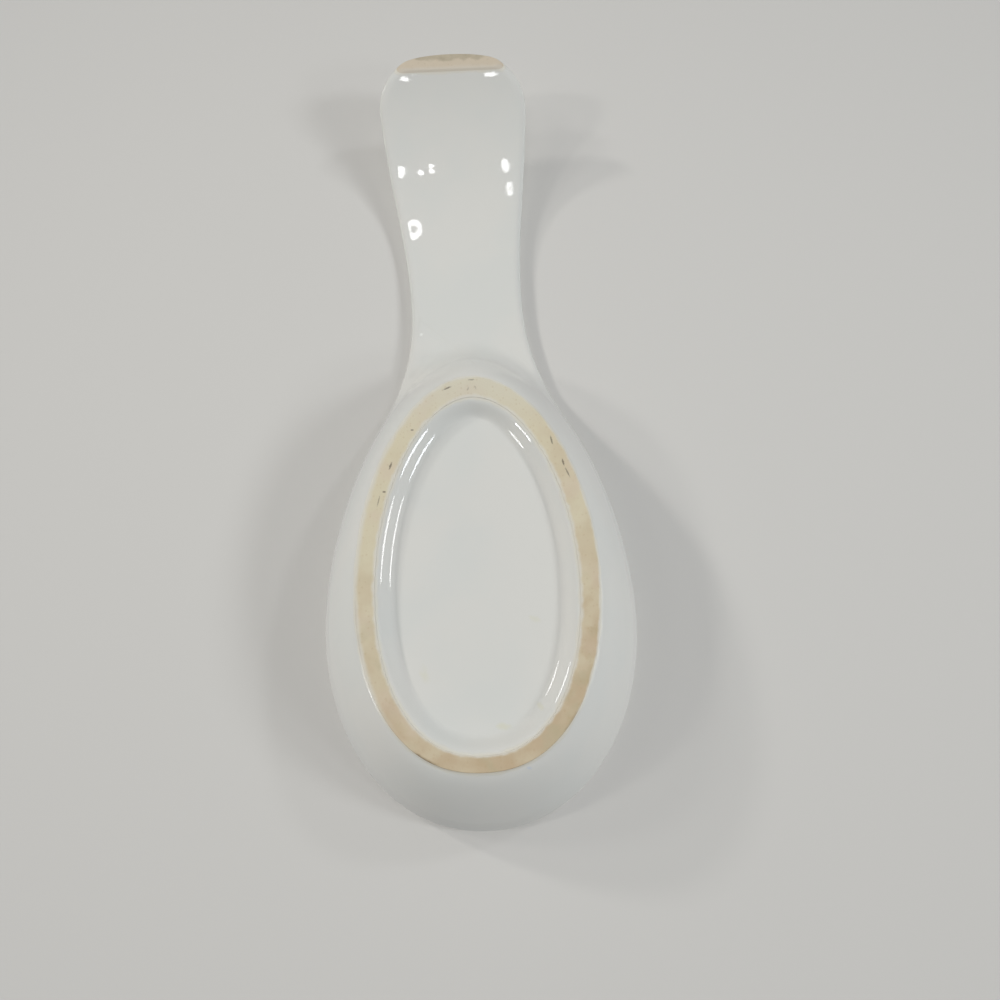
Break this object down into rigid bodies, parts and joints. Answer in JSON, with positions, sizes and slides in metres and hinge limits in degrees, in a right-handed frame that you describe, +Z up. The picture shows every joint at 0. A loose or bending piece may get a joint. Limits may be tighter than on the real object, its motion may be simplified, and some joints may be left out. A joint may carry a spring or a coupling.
{
  "type": "spoon rest",
  "caption": "Glazed ceramic spoon rest: an egg-shaped dish on an oval foot ring, with a flat handle that widens from the neck and curls down to a bare foot.",
  "frame": {"origin": "on the table, under the middle of the whole length and the middle of the dish's width", "axes": "+Z up from the table to the open dish, +Y from the dish towards the curled end of the handle, X across"},
  "size_m": [0.0886, 0.2419, 0.0228],
  "materials": {
    "glaze": "glossy white glaze",
    "bare_clay": "unglazed, ground matt, warm buff",
    "inner_clay": "fired white clay under the glaze"
  },
  "bodies": {
    "root": {"bowl": "inner_clay", "foot_ring": "bare_clay", "handle": "inner_clay", "handle_foot": "bare_clay", "bowl_glaze": "glaze", "handle_glaze": "glaze", "well_glaze": "glaze"}
  },
  "joints": []
}
